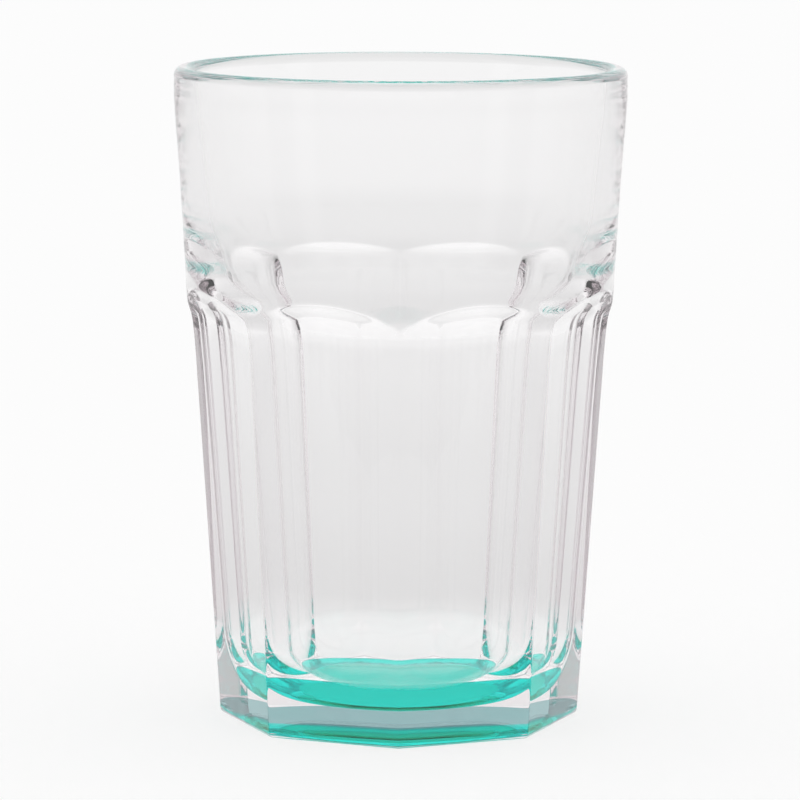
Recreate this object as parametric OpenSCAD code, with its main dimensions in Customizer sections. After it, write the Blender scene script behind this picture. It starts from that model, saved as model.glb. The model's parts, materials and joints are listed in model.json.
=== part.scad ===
// Faceted drinking glass: a round band above eight flat facets whose tops run out in arches,
// a stepped bore with a rounded floor, and a colour coat in the hollow of the underside.
// The origin is the centre of the underside, where the glass stands on the table.

/* [Overall] */
// Height of the glass from the table to the lip
glass_h = 121; // [112:1:150]
// Outer diameter of the straight band at the lip
rim_d = 83.4; // [82:0.1:92]
// Height of the straight band at the lip
lip_band_h = 6.5; // [4:0.5:14]
// Outer diameter of the round band just above the arches
waist_d = 78.8; // [77.5:0.1:81]
// Height at which the round band has its waist diameter
waist_h = 78; // [74:1:90]

/* [Facets] */
// Number of flat facets round the body
facet_count = 8; // [8:1:12]
// Distance across two opposite facets at the table
foot_across = 61.5; // [60.8:0.1:66]
// Distance across two opposite facets at the start of their arched tops
shoulder_across = 70.5; // [69.5:0.1:72]
// Height at which the facets start to curve out into their arched tops
shoulder_h = 73.2; // [60:0.1:74]
// Radius of the hollow that turns a facet outwards
runout_r = 9; // [6:0.5:12]
// Slope of the arched top, measured from upright
runout_angle = 41.5; // [28:0.5:46]
// Radius of the rounded edge round the foot
foot_edge_r = 1; // [0.4:0.1:1.3]

/* [Bore] */
// Thickness of the glass from the table to the floor of the bore
floor_h = 5.1; // [4:0.1:8]
// Diameter of the bore, its wall carried down to the floor
floor_d = 50.3; // [46:0.1:52]
// Radius between the wall of the bore and its floor
floor_fillet_r = 11.5; // [3:0.5:12.5]
// Height at which the bore steps outwards
bore_shoulder_h = 77.3; // [74:0.1:80]
// Diameter of the bore where it steps outwards
bore_shoulder_d = 61.6; // [58:0.1:63]
// Height at the end of the step
bore_step_h = 81.8; // [81:0.1:88]
// Diameter of the bore at the end of the step
bore_step_d = 66; // [63.5:0.1:68]
// Height at which the wall of the bore steepens again
bore_band_h = 93.5; // [90:0.5:100]
// Diameter of the bore where it steepens again
bore_band_d = 69.5; // [68:0.1:71.5]
// Rounding of the lip towards the outside
lip_outer_r = 2.2; // [1:0.1:2.6]
// Rounding of the lip towards the bore
lip_inner_r = 2.5; // [0.8:0.1:2.8]

/* [Underside] */
// Diameter of the hollow in the underside, inside the standing ring
punt_d = 58.6; // [44:0.1:59]
// Height of the upright edge of the hollow
punt_edge_h = 0.5; // [0.4:0.1:1]
// Rise of the dome above that edge
punt_rise = 1.6; // [0.8:0.1:2.4]
// Power of the dome: 2 is evenly curved, higher is flatter with a steeper edge
punt_power = 4; // [2:1:8]
// Thickness of the colour coat on the dome
coat_t = 0.3; // [0.2:0.05:0.35]
// Bare margin between the coat and the edge of the hollow
coat_margin = 0.1; // [0.1:0.1:2]

/* [Hidden] */
$fn = 120;

// Every cut runs past the surface that it opens by this much
overrun = 2;

facet_step = 360 / facet_count;
foot_x = foot_across / 2;
shoulder_x = shoulder_across / 2;
facet_lean = atan((shoulder_x - foot_x) / shoulder_h);

// A facet in section: its foot edge, then the hollow above it and the slope of the arched top
foot_centre = [foot_x - foot_edge_r * (1 - sin(facet_lean)) / cos(facet_lean), foot_edge_r];
foot_tangent = foot_centre + foot_edge_r * [cos(facet_lean), -sin(facet_lean)];
shoulder_point = [shoulder_x, shoulder_h];
runout_centre = shoulder_point + runout_r * [cos(facet_lean), -sin(facet_lean)];
runout_start = runout_centre + runout_r * [-cos(runout_angle), sin(runout_angle)];
runout_reach = rim_d / 2 + overrun - runout_start.x;
runout_end = runout_start + runout_reach * [1, 1 / tan(runout_angle)];
cut_reach = runout_centre.x + runout_r;
cut_width = rim_d * tan(facet_step / 2);

// The lip: two roundings that meet at the top of the wall
lip_outer_centre = [rim_d / 2 - lip_outer_r, glass_h - lip_outer_r];
lip_inner_centre = [rim_d / 2 - lip_outer_r, glass_h - lip_inner_r];

// The bore in section: a lower cone, a step, a wider cone, then a cone tangent to the lip
bore_shoulder = [bore_shoulder_d / 2, bore_shoulder_h];
bore_step = [bore_step_d / 2, bore_step_h];
bore_band = [bore_band_d / 2, bore_band_h];
bore_lean = atan((bore_shoulder.x - floor_d / 2) / (bore_shoulder_h - floor_h));
fillet_run = floor_fillet_r * tan((90 - bore_lean) / 2);
fillet_centre = [floor_d / 2 - fillet_run, floor_h + floor_fillet_r];
fillet_tangent = fillet_centre + floor_fillet_r * [cos(bore_lean), -sin(bore_lean)];
to_lip = lip_inner_centre - bore_band;
lip_lean = atan(to_lip.x / to_lip.y) - asin(lip_inner_r / norm(to_lip));
lip_tangent = lip_inner_centre + lip_inner_r * [-cos(lip_lean), sin(lip_lean)];

// The hollow of the underside: its dome in section, drawn a little past its edge
dome_steps = 24;
dome_step = punt_d / 2 / dome_steps;
dome_count = dome_steps + 2;
function dome_h(x) = punt_edge_h + punt_rise * (1 - pow(x / (punt_d / 2), punt_power));
dome_line = [for (i = [dome_count : -1 : 0]) [dome_step * i, dome_h(dome_step * i)]];
coat_d = punt_d - 2 * coat_margin;

module glass_body() {
    color([0.9, 0.96, 0.96, 0.45])
    difference() {
        blank();
        for (i = [0 : facet_count - 1])
            rotate([0, 0, (i + 0.5) * facet_step])
            facet_cutter();
        bore();
        punt(punt_d, 0);
    }
}

// The film follows the dome, so its lower face is the same dome lowered by its thickness
module colour_coat() {
    color([0.1, 0.72, 0.65, 0.85])
    difference() {
        punt(coat_d, 0);
        punt(punt_d + overrun, coat_t);
    }
}

// The round blank that the facets are cut from
module blank() {
    rotate_extrude()
    union() {
        polygon([
            [0, 0],
            [waist_d / 2, 0],
            [waist_d / 2, waist_h],
            [rim_d / 2, glass_h - lip_band_h],
            [rim_d / 2, lip_outer_centre.y],
            [lip_outer_centre.x, lip_outer_centre.y],
            [lip_outer_centre.x, glass_h],
            [0, glass_h]
        ]);
        translate(lip_outer_centre)
        circle(r = lip_outer_r);
    }
}

// What one facet takes off: the section is drawn from the axis outwards and run along the facet
module facet_cutter() {
    rotate([90, 0, 0])
    translate([0, 0, -cut_width / 2])
    linear_extrude(height = cut_width)
    facet_section();
}

module facet_section() {
    polygon([
        foot_tangent,
        shoulder_point,
        runout_centre,
        runout_start,
        runout_end,
        [cut_reach, runout_end.y],
        [cut_reach, foot_tangent.y]
    ]);
    translate(runout_centre)
    circle(r = runout_r);
    difference() {
        polygon([
            [foot_centre.x, -overrun],
            [foot_centre.x, foot_centre.y],
            foot_tangent,
            [cut_reach, foot_tangent.y],
            [cut_reach, -overrun]
        ]);
        translate(foot_centre)
        circle(r = foot_edge_r);
    }
}

module bore() {
    rotate_extrude()
    difference() {
        union() {
            polygon([
                [0, floor_h],
                [fillet_centre.x, floor_h],
                fillet_centre,
                fillet_tangent,
                bore_shoulder,
                bore_step,
                bore_band,
                lip_tangent,
                [lip_inner_centre.x, lip_tangent.y],
                [lip_inner_centre.x, glass_h + overrun],
                [0, glass_h + overrun]
            ]);
            translate(fillet_centre)
            circle(r = floor_fillet_r);
        }
        translate(lip_inner_centre)
        circle(r = lip_inner_r);
    }
}

// The hollow of the underside down to the table, lowered by a drop
module punt(d, drop) {
    translate([0, 0, -drop])
    intersection() {
        translate([0, 0, -overrun])
        cylinder(h = overrun + punt_edge_h + punt_rise, d = d);
        rotate_extrude()
        polygon(concat([[0, -overrun], [dome_step * dome_count, -overrun]], dome_line));
    }
}

glass_body();
colour_coat();
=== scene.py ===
import json
from math import radians
import bpy
import numpy as np
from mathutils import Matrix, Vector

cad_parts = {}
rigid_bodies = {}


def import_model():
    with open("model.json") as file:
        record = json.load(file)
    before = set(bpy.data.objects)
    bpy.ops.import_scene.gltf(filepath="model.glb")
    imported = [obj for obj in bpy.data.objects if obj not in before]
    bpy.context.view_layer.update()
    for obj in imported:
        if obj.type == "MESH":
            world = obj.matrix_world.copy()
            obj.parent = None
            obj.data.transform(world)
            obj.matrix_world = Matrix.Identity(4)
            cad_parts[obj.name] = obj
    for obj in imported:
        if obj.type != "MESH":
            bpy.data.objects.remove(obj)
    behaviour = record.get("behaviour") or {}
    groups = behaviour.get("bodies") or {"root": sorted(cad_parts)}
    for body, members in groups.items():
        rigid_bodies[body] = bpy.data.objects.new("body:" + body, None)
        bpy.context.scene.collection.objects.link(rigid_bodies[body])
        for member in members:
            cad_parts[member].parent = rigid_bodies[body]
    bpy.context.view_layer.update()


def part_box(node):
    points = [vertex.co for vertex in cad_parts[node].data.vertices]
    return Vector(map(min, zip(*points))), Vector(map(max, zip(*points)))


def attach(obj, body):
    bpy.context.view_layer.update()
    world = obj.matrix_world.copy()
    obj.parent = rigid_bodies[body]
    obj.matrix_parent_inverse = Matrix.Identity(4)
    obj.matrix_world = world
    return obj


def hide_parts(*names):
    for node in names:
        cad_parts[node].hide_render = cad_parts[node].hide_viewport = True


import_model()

# A pressed drinking glass: round band, eight facets with arched tops, coloured coat under the base.
# Lengths are in metres unless a note says otherwise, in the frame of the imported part, with the glass
# standing on z = 0.

bodyLow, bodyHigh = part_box("glass_body")
mm = 0.001
white = (1, 1, 1, 1)
scene = bpy.context.scene


# Mesh helpers

def between(start, end, count):
    # Values start + (end - start) * i / (count + 1) for i from 1 to count: the two ends are left out.
    return np.linspace(start, end, count + 2)[1:-1]


def easeOut(count):
    # Shares 1 - (1 - s)^2 from 0 to 1, closer together towards 1.
    return 1 - (1 - np.linspace(0, 1, count)) ** 2


def softMin(a, b, blend):
    # The smaller of a and b with the crossing rounded: (a + b - sqrt((a - b)^2 + blend^2)) / 2.
    return (a + b - np.sqrt((a - b) ** 2 + blend ** 2)) / 2


def arc(centre, radius, start, end, count):
    # Points centre + radius * (cos t, sin t) for count angles t from start to end.
    turn = np.linspace(start, end, count)
    return centre + radius * np.stack([np.cos(turn), np.sin(turn)], axis=-1)


def ringPoints(radius, height, theta):
    # Points (radius cos t, radius sin t, height) for every ring and every angle t of theta.
    return np.stack([radius * np.cos(theta), radius * np.sin(theta), height + 0 * theta], axis=-1)


def gridMesh(name, rings, capStart, capEnd):
    # Closed skin from rings[row, column, xyz]: quads between neighbouring rings, and a fan from each
    # cap point to the first and the last ring. Faces point outwards when columns run anticlockwise
    # and rows run from the underside, up the outside and down the inside.
    rows, columns = rings.shape[:2]
    points = np.concatenate([[capStart], rings.reshape(-1, 3), [capEnd]])
    index = 1 + np.arange(rows * columns).reshape(rows, columns)
    after = np.roll(index, -1, axis=1)
    quads = np.stack([index[:-1], after[:-1], after[1:], index[1:]], axis=-1).reshape(-1, 4)
    first = np.stack([np.zeros(columns, int), after[0], index[0]], axis=-1)
    last = np.stack([np.full(columns, len(points) - 1), index[-1], after[-1]], axis=-1)
    corners = np.concatenate([first.ravel(), quads.ravel(), last.ravel()])
    sizes = np.concatenate([np.full(columns, 3), np.full(len(quads), 4), np.full(columns, 3)])
    mesh = bpy.data.meshes.new(name)
    mesh.vertices.add(len(points))
    mesh.vertices.foreach_set("co", points.ravel())
    mesh.loops.add(len(corners))
    mesh.loops.foreach_set("vertex_index", corners)
    mesh.polygons.add(len(sizes))
    mesh.polygons.foreach_set("loop_start", np.cumsum(sizes) - sizes)
    mesh.polygons.foreach_set("loop_total", sizes)
    mesh.polygons.foreach_set("use_smooth", np.ones(len(sizes), bool))
    mesh.update(calc_edges=True)
    mesh.validate()
    return mesh


def addPiece(name, mesh, material, replaced):
    # Puts a mesh into the scene at the origin, riding on the one body and standing for a CAD node.
    piece = bpy.data.objects.new(name, mesh)
    scene.collection.objects.link(piece)
    mesh.materials.append(material)
    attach(piece, "root")
    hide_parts(replaced)
    return piece


# Material helpers

def newMaterial(name):
    # A node material with nothing in it yet.
    material = bpy.data.materials.new(name)
    material.use_nodes = True
    material.node_tree.nodes.clear()
    return material, material.node_tree


def addNode(tree, kind, inputs=None, **settings):
    # Adds a node; settings are its properties, inputs are values or links for its sockets. A socket
    # whose name its node uses more than once goes by number: 1 and 2 are the shaders of Mix Shader,
    # and 6, 7 and output 2 are the colours of Mix.
    node = tree.nodes.new(kind)
    for key, value in settings.items():
        setattr(node, key, value)
    for key, value in (inputs or {}).items():
        if isinstance(value, bpy.types.NodeSocket):
            tree.links.new(value, node.inputs[key])
        else:
            node.inputs[key].default_value = value
    return node


def addRamp(tree, fac, stops):
    # A colour ramp of grey tones, from (place, tone) pairs.
    ramp = addNode(tree, "ShaderNodeValToRGB", {"Fac": fac})
    ramp.color_ramp.interpolation = "EASE"
    elements = ramp.color_ramp.elements
    while len(elements) < len(stops):
        elements.new(0.5)
    for element, (place, tone) in zip(elements, stops):
        element.position = place
        element.color = (tone, tone, tone, 1)
    return ramp.outputs[0]


def clearShadow(tree, surface, tint):
    # The surface as it is, but light that would cast its shadow goes straight on and takes the tint.
    path = addNode(tree, "ShaderNodeLightPath")
    clear = addNode(tree, "ShaderNodeBsdfTransparent", {"Color": tint})
    mixed = addNode(tree, "ShaderNodeMixShader", {
        "Fac": path.outputs["Is Shadow Ray"], 1: surface, 2: clear.outputs[0]})
    return mixed.outputs[0]


# The glass body

glass = {
    "height": bodyHigh.z - bodyLow.z,
    "rimRadius": 41.65 * mm,
    "lipBand": 6.5 * mm,           # straight band under the lip
    "lipOuter": 1.5 * mm,          # outer rounding of the lip
    "waistRadius": 39.4 * mm,      # round band just above the arches
    "waistHeight": 78 * mm,
    "bandHollow": 0.16 * mm,       # how far the band is hollowed between waist and lip band
    "facets": 8,
    "footApothem": 30.75 * mm,     # axis to facet at the table
    "footEdge": 1 * mm,            # rounding of the foot
    "shoulderApothem": 35.2 * mm,  # axis to facet at the shoulder's height
    "shoulderHeight": 72.6 * mm,
    "runoutHeight": 76.5 * mm,     # where the line of the flat meets the line of the arched top
    "runoutSlope": 0.818,          # how much faster the arched top moves outwards than the flat
    "runoutHollow": 2.0 * mm,      # softness of the turn between the two
    "runoutBelow": 10 * mm,        # how far below that turn the close rings of the run-out start
    "archReach": 20 * mm,          # the arches lie within this height above that start
    "archSamples": 4000,
    "cornerBlend": 0.1 * mm,       # softness of the edge between two facets
    "archBlend": 0.45 * mm,        # softness of the edge along the arches
    "floorHeight": 5.1 * mm,
    "floorFillet": 11.5 * mm,
    "boreRadius": 30.4 * mm,       # radius of the bore at the height in the next line
    "boreHeight": 72 * mm,
    # lean of the bore's wall from upright, in degrees, at heights in millimetres from floor to lip
    "boreLeans": [(5.1, 4.5), (76.5, 4.5), (78, 28), (80, 28), (82.5, 13), (90, 12), (94, 5.5),
                  (104, 6), (112, 7.5), (121, 1)],
    "boreSamples": 1200,
    "puntRadius": 29.3 * mm,       # hollow of the underside
    "puntEdge": 0.5 * mm,          # upright edge of that hollow
    "puntRise": 1.6 * mm,          # rise of its dome above that edge
    "puntPower": 4,                # higher is flatter, with a steeper edge
    # columns of points on a facet, and rings from the underside up the outside and down the bore
    "columnsPerFacet": 44,
    "domeRings": 30,
    "standingRings": 3,
    "footRings": 9,
    "flatRings": 24,
    "runoutRings": 44,
    "bandRings": 29,
    "lipBandRings": 3,
    "outerLipRings": 14,
    "innerLipRings": 20,
    "boreRings": 58,
    "filletRings": 26,
    "floorRings": 9,
    "index": 1.52,                 # refractive index
    "depthTint": (0.79, 0.72, 0.75, 1),  # lilac grey, which shows only along long paths in the glass
    "depthDensity": 10.0,
    "rippleScale": (60, 60, 14),   # waves in the surface, drawn out upwards
    "rippleDetail": 2.0,
    "rippleStrength": 0.003,
    "rippleDepth": 1 * mm,
    "shadowTint": (0.95, 0.97, 0.96, 1),
}


def domeRadii(edge, spec):
    # Radii edge * i / count for i from 1 to count: the rings of a dome without its crown.
    return np.linspace(0, 1, spec["domeRings"] + 1)[1:] * edge


def domeHeight(radius, spec):
    # Height of the hollow underside: edge + rise * (1 - (radius / its radius)^power).
    share = radius / spec["puntRadius"]
    return spec["puntEdge"] + spec["puntRise"] * (1 - share ** spec["puntPower"])


def makeGlass(spec):
    # Rings of radius and height over the same columns, turned about the axis. A ring's radius is that
    # of the facets, of the round band or, where they meet, the smaller of the two with a soft edge.
    slope = (spec["shoulderApothem"] - spec["footApothem"]) / spec["shoulderHeight"]
    lean = np.arctan(slope)
    bandTop = spec["height"] - spec["lipBand"]

    def facetDistance(z):
        # Axis to facet at height z: foot + z * slope + runoutSlope * (u + sqrt(u^2 + hollow^2)) / 2,
        # for the height u above the turn.
        u = z - spec["runoutHeight"]
        turned = (u + np.sqrt(u ** 2 + spec["runoutHollow"] ** 2)) / 2
        return spec["footApothem"] + z * slope + spec["runoutSlope"] * turned

    def bandRadius(z):
        # Round band: waist to rim along a line, less hollow * 4 s (1 - s) for the share s of its
        # height.
        s = (z - spec["waistHeight"]) / (bandTop - spec["waistHeight"])
        line = spec["waistRadius"] + np.minimum(s, 1) * (spec["rimRadius"] - spec["waistRadius"])
        inside = np.clip(s, 0, 1)
        return line - spec["bandHollow"] * 4 * inside * (1 - inside)

    # Columns: the same spacing in each facet, closer together at its two edges
    step = 2 * np.pi / spec["facets"]
    share = np.linspace(-1, 1, spec["columnsPerFacet"], endpoint=False)
    across = np.tile(step / 2 * np.sin(share * np.pi / 2), spec["facets"])
    middle = np.repeat((np.arange(spec["facets"]) + 0.5) * step, spec["columnsPerFacet"])
    theta = middle + across
    toFacet = np.cos(across)
    toNext = np.cos(step - np.abs(across))
    rings = []

    def addRings(radius, height):
        # Adds rings; radius and height are one value for all, one a ring, or rings by columns.
        pair = [np.reshape(part, (-1, 1)) if np.ndim(part) < 2 else part for part in (radius, height)]
        rings.append(np.stack(np.broadcast_arrays(*pair, theta)[:2], axis=-1))

    def facetRadius(distance):
        # Radius at which a facet at this distance is met: distance / cos(angle to its middle), with a
        # soft edge to the next facet.
        return softMin(distance / toFacet, distance / toNext, spec["cornerBlend"])

    def addShoulder(height):
        # Adds rings where facets and band meet: the smaller of their radii, with a soft edge.
        onFacet = facetRadius(facetDistance(height))
        addRings(softMin(onFacet, bandRadius(height), spec["archBlend"]), height)

    # Underside: dome, its upright edge, the standing ring, the rounded edge of the foot
    dome = domeRadii(spec["puntRadius"], spec)
    addRings(dome, domeHeight(dome, spec))
    addRings(spec["puntRadius"], np.array([spec["puntEdge"] / 2, 0]))
    footMiddle = spec["footApothem"] - spec["footEdge"] * (1 - np.sin(lean)) / np.cos(lean)
    foot = arc((footMiddle, spec["footEdge"]), spec["footEdge"], -np.pi / 2, -lean, spec["footRings"])
    outwards = between(0, 1, spec["standingRings"])[:, None]
    addRings((1 - outwards) * spec["puntRadius"] + outwards * facetRadius(foot[0, 0]), 0)
    addRings(facetRadius(foot[:, :1]), foot[:, 1])

    # Height at which each column meets its arch, from distance(z) / radius(z) = cos(angle)
    runoutStart = spec["runoutHeight"] - spec["runoutBelow"]
    z = np.linspace(runoutStart, runoutStart + spec["archReach"], spec["archSamples"])
    archHeight = np.interp(toFacet, facetDistance(z) / bandRadius(z), z)

    # Facets, then their run-out up to the arch, then the band from there up, less the arch's own ring
    flatHeight = between(foot[-1, 1], runoutStart, spec["flatRings"])
    addRings(facetRadius(facetDistance(flatHeight[:, None])), flatHeight)
    up = easeOut(spec["runoutRings"])[:, None]
    addShoulder(runoutStart + up * (archHeight - runoutStart))
    down = easeOut(spec["bandRings"] + 1)[::-1][1:, None]
    addShoulder(bandTop - down * (bandTop - archHeight))

    # Bore: its radius is the sum of tan(lean) dz, moved to what it is at the height where it is known
    leanHeight, leanTurn = np.array(spec["boreLeans"]).T
    z = np.linspace(leanHeight[0], leanHeight[-1], spec["boreSamples"]) * mm
    turns = np.tan(np.radians(np.interp(z / mm, leanHeight, leanTurn)))
    wall = np.concatenate([[0], np.cumsum((turns[1:] + turns[:-1]) / 2 * np.diff(z))])
    wall += spec["boreRadius"] - np.interp(spec["boreHeight"], z, wall)
    floorLean, lipLean = np.radians(leanTurn[[0, -1]])
    filletRun = spec["floorFillet"] * np.tan((np.pi / 2 - floorLean) / 2)
    filletMiddle = (wall[0] - filletRun, spec["floorHeight"] + spec["floorFillet"])
    fillet = arc(filletMiddle, spec["floorFillet"], -floorLean, -np.pi / 2, spec["filletRings"])

    # Lip: an outer rounding, and an inner one that touches the top and the wall, with the radius
    # (middle - wall) cos(lean) / (1 - sin(lean))
    lipMiddle = spec["rimRadius"] - spec["lipOuter"]
    lipInner = (lipMiddle - wall[-1]) * np.cos(lipLean) / (1 - np.sin(lipLean))
    outerMiddle = (lipMiddle, spec["height"] - spec["lipOuter"])
    innerMiddle = (lipMiddle, spec["height"] - lipInner)
    outerLip = arc(outerMiddle, spec["lipOuter"], 0, np.pi / 2, spec["outerLipRings"])
    innerLip = arc(innerMiddle, lipInner, np.pi / 2, np.pi - lipLean, spec["innerLipRings"])

    # Lip band, lip, wall of the bore, fillet and floor; the two roundings share their top ring
    boreHeight = between(innerLip[-1, 1], fillet[0, 1], spec["boreRings"])
    addRings(spec["rimRadius"], between(bandTop, outerLip[0, 1], spec["lipBandRings"]))
    addRings(*outerLip.T)
    addRings(*innerLip[1:].T)
    addRings(np.interp(boreHeight, z, wall), boreHeight)
    addRings(*fillet.T)
    addRings(between(fillet[-1, 0], 0, spec["floorRings"]), spec["floorHeight"])

    grid = np.concatenate(rings)
    points = ringPoints(grid[..., 0], grid[..., 1], theta)
    return gridMesh("glassBody", points, [0, 0, domeHeight(0, spec)], [0, 0, spec["floorHeight"]])


def glassMaterial(spec):
    # Clear pressed glass: smooth, very slightly wavy, with a trace of lilac grey in thick places.
    material, tree = newMaterial("clearPressedGlass")
    where = addNode(tree, "ShaderNodeTexCoord")
    stretched = addNode(tree, "ShaderNodeMapping", {
        "Vector": where.outputs["Object"], "Scale": spec["rippleScale"]})
    ripple = addNode(tree, "ShaderNodeTexNoise", {
        "Vector": stretched.outputs[0], "Scale": 1.0, "Detail": spec["rippleDetail"]})
    bump = addNode(tree, "ShaderNodeBump", {
        "Height": ripple.outputs["Fac"], "Strength": spec["rippleStrength"],
        "Distance": spec["rippleDepth"]})
    shader = addNode(tree, "ShaderNodeBsdfPrincipled", {
        "Base Color": white, "Roughness": 0.0, "IOR": spec["index"], "Transmission Weight": 1.0,
        "Normal": bump.outputs[0]})
    depth = addNode(tree, "ShaderNodeVolumeAbsorption", {
        "Color": spec["depthTint"], "Density": spec["depthDensity"]})
    surface = clearShadow(tree, shader.outputs[0], spec["shadowTint"])
    addNode(tree, "ShaderNodeOutputMaterial", {"Surface": surface, "Volume": depth.outputs[0]})
    return material


body = addPiece("glassBody", makeGlass(glass), glassMaterial(glass), "glass_body")
print("glass body:", len(body.data.polygons), "faces")


# The colour coat under the base

coat = {
    "margin": 0.1 * mm,            # bare ring between the coat and the edge of the hollow
    "thickness": 0.3 * mm,
    "overlap": 0.02 * mm,          # how far it reaches into the glass, so that no gap is left
    "columns": 192,
    "index": 0.9866,               # its index against that of the glass above it
    "tint": (0.12, 0.89, 0.83, 1),
    "mirrorTint": (0.34, 0.56, 0.57, 1),
}


def makeCoat(spec, glassSpec):
    # The dome of the underside as a film: lower face dome height less thickness, from the crown to the
    # edge, then upper face dome height plus overlap, from the edge back to the crown.
    theta = np.linspace(0, 2 * np.pi, spec["columns"], endpoint=False)
    radius = domeRadii(glassSpec["puntRadius"] - spec["margin"], glassSpec)
    dome = domeHeight(radius, glassSpec)
    crown = domeHeight(0, glassSpec)
    radii = np.concatenate([radius, radius[::-1]])[:, None]
    heights = np.concatenate([dome - spec["thickness"], (dome + spec["overlap"])[::-1]])[:, None]
    points = ringPoints(radii, heights, theta)
    low, high = crown - spec["thickness"], crown + spec["overlap"]
    return gridMesh("colourCoat", points, [0, 0, low], [0, 0, high])


def coatMaterial(spec):
    # A clear film that tints what passes each of its faces, and mirrors where light grazes it, because
    # its index is a little below that of the glass.
    material, tree = newMaterial("turquoiseCoat")
    graze = addNode(tree, "ShaderNodeFresnel", {"IOR": spec["index"]})
    through = addNode(tree, "ShaderNodeBsdfRefraction", {
        "Color": spec["tint"], "Roughness": 0.0, "IOR": 1.0})
    mirror = addNode(tree, "ShaderNodeBsdfGlossy", {"Color": spec["mirrorTint"], "Roughness": 0.0})
    shader = addNode(tree, "ShaderNodeMixShader", {
        "Fac": graze.outputs[0], 1: through.outputs[0], 2: mirror.outputs[0]})
    surface = clearShadow(tree, shader.outputs[0], spec["tint"])
    addNode(tree, "ShaderNodeOutputMaterial", {"Surface": surface})
    return material


film = addPiece("colourCoat", makeCoat(coat, glass), coatMaterial(coat), "colour_coat")
print("colour coat:", len(film.data.polygons), "faces")


# Floor, world and camera

studio = {
    "floorRadius": 6.0,
    "floorCorners": 96,
    "floorGlow": 0.5,              # share of the floor's tone that glows
    # painted shade: tone of the floor in the glass by the share of its radius, darker in a ring round
    # the glass and full white right under it
    "floorPaintedShadeStops": [(0.0, 1.0), (0.008, 1.0), (0.02, 0.78), (0.04, 0.82), (0.08, 0.88), (0.15, 0.96),
                   (0.5, 1.0)],
    # tone of the world in the glass, from 0 straight behind it to 1 straight in front
    "aroundStops": [(0.0, 1.0), (0.49, 1.0), (0.53, 0.6), (0.66, 0.62), (0.7, 0.95), (0.77, 0.95),
                    (0.82, 0.6)],
    "overheadTone": 1.05,
    "overheadStart": 0.5,          # sines of the elevations between which that tone sets in
    "overheadEnd": 0.85,
    "cameraDistance": 0.895,
    "cameraElevation": radians(7.8),
    "cameraRoll": radians(0.2),
    "aim": (0.06 * mm, 0, 59.07 * mm),
    "lens": 217.3,
    "sensorWidth": 36,
    "clipStart": 0.05,
    "bounces": 26,                 # fewer leave black lines in the base, more turn the lip green
}


def makeFloor(spec):
    # A flat disc: one share of its tone glows, the rest is matte and takes the shadow. Seen through or
    # in the glass it has painted shade, a little darker in a ring round the glass; straight into the
    # camera it is white.
    turn = np.linspace(0, 2 * np.pi, spec["floorCorners"], endpoint=False)
    points = ringPoints(spec["floorRadius"], 0, turn)
    mesh = bpy.data.meshes.new("paleFloor")
    mesh.from_pydata(points.tolist(), [], [list(range(len(turn)))])
    floor = bpy.data.objects.new("paleFloor", mesh)
    scene.collection.objects.link(floor)
    material, tree = newMaterial("paleFloor")
    where = addNode(tree, "ShaderNodeTexCoord")
    distance = addNode(tree, "ShaderNodeVectorMath", {0: where.outputs["Object"]}, operation="LENGTH")
    share = addNode(tree, "ShaderNodeMath", {
        0: distance.outputs["Value"], 1: spec["floorRadius"]}, operation="DIVIDE")
    # Painted shade: the floor's tone as the glass sees it, darker in a ring round the glass
    tone = addRamp(tree, share.outputs[0], spec["floorPaintedShadeStops"])
    path = addNode(tree, "ShaderNodeLightPath")
    seen = addNode(tree, "ShaderNodeMix", {
        0: path.outputs["Is Camera Ray"], 6: tone, 7: white}, data_type="RGBA")
    matte = addNode(tree, "ShaderNodeBsdfDiffuse", {"Color": seen.outputs[2]})
    glow = addNode(tree, "ShaderNodeEmission", {"Color": seen.outputs[2], "Strength": 1.0})
    both = addNode(tree, "ShaderNodeMixShader", {
        "Fac": spec["floorGlow"], 1: matte.outputs[0], 2: glow.outputs[0]})
    addNode(tree, "ShaderNodeOutputMaterial", {"Surface": both.outputs[0]})
    mesh.materials.append(material)


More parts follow.
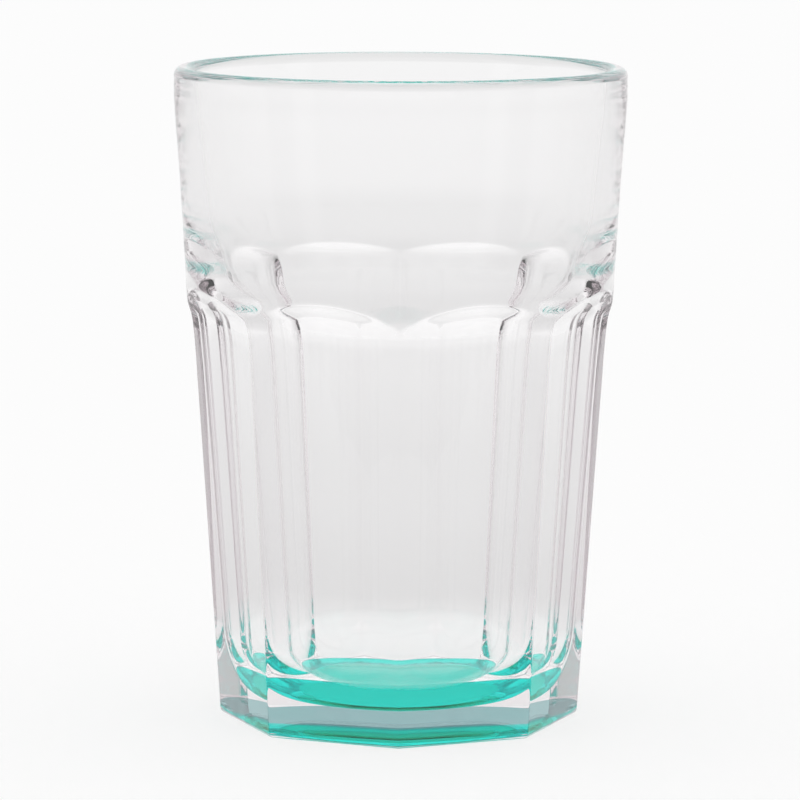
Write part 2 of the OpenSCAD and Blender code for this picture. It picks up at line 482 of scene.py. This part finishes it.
def makeWorld(spec):
    # Even light from behind and overhead, darker on the camera's side with a soft panel either side
    # of it. The place round the glass is (1 - y) / 2, for the y of the level direction.
    world = bpy.data.worlds.new("softStudio")
    scene.world = world
    world.use_nodes = True
    tree = world.node_tree
    tree.nodes.clear()
    where = addNode(tree, "ShaderNodeTexCoord")
    flat = addNode(tree, "ShaderNodeVectorMath", {
        0: where.outputs["Generated"], 1: (1, 1, 0)}, operation="MULTIPLY")
    level = addNode(tree, "ShaderNodeVectorMath", {0: flat.outputs[0]}, operation="NORMALIZE")
    axes = addNode(tree, "ShaderNodeSeparateXYZ", {"Vector": level.outputs[0]})
    front = addNode(tree, "ShaderNodeMapRange", {
        "Value": axes.outputs["Y"], "From Min": 1.0, "From Max": -1.0})
    around = addRamp(tree, front.outputs[0], spec["aroundStops"])
    height = addNode(tree, "ShaderNodeSeparateXYZ", {"Vector": where.outputs["Generated"]})
    overhead = addNode(tree, "ShaderNodeMapRange", {
        "Value": height.outputs["Z"], "From Min": spec["overheadStart"],
        "From Max": spec["overheadEnd"]})
    top = spec["overheadTone"]
    tone = addNode(tree, "ShaderNodeMix", {
        0: overhead.outputs[0], 6: around, 7: (top, top, top, 1)}, data_type="RGBA")
    path = addNode(tree, "ShaderNodeLightPath")
    light = addNode(tree, "ShaderNodeBackground", {"Color": tone.outputs[2], "Strength": 1.0})
    plain = addNode(tree, "ShaderNodeBackground", {"Color": white, "Strength": 1.0})
    mixed = addNode(tree, "ShaderNodeMixShader", {
        "Fac": path.outputs["Is Camera Ray"], 1: light.outputs[0], 2: plain.outputs[0]})
    addNode(tree, "ShaderNodeOutputWorld", {"Surface": mixed.outputs[0]})


def makeCamera(spec):
    # Camera on a circle round the aim point: aim + distance * (0, -cos e, sin e), looking back at it.
    data = bpy.data.cameras.new("photoCamera")
    data.lens = spec["lens"]
    data.sensor_width = spec["sensorWidth"]
    data.clip_start = spec["clipStart"]
    camera = bpy.data.objects.new("photoCamera", data)
    scene.collection.objects.link(camera)
    up = spec["cameraElevation"]
    outwards = np.array([0, -np.cos(up), np.sin(up)])
    camera.location = np.array(spec["aim"]) + spec["cameraDistance"] * outwards
    camera.rotation_euler = (np.pi / 2 - up, 0, 0)
    camera.rotation_euler.rotate_axis("Z", spec["cameraRoll"])
    scene.camera = camera


makeFloor(studio)
makeWorld(studio)
makeCamera(studio)
scene.view_settings.view_transform = "Standard"
scene.cycles.max_bounces = studio["bounces"]
scene.cycles.transmission_bounces = studio["bounces"]
scene.cycles.glossy_bounces = studio["bounces"]
print("studio ready")
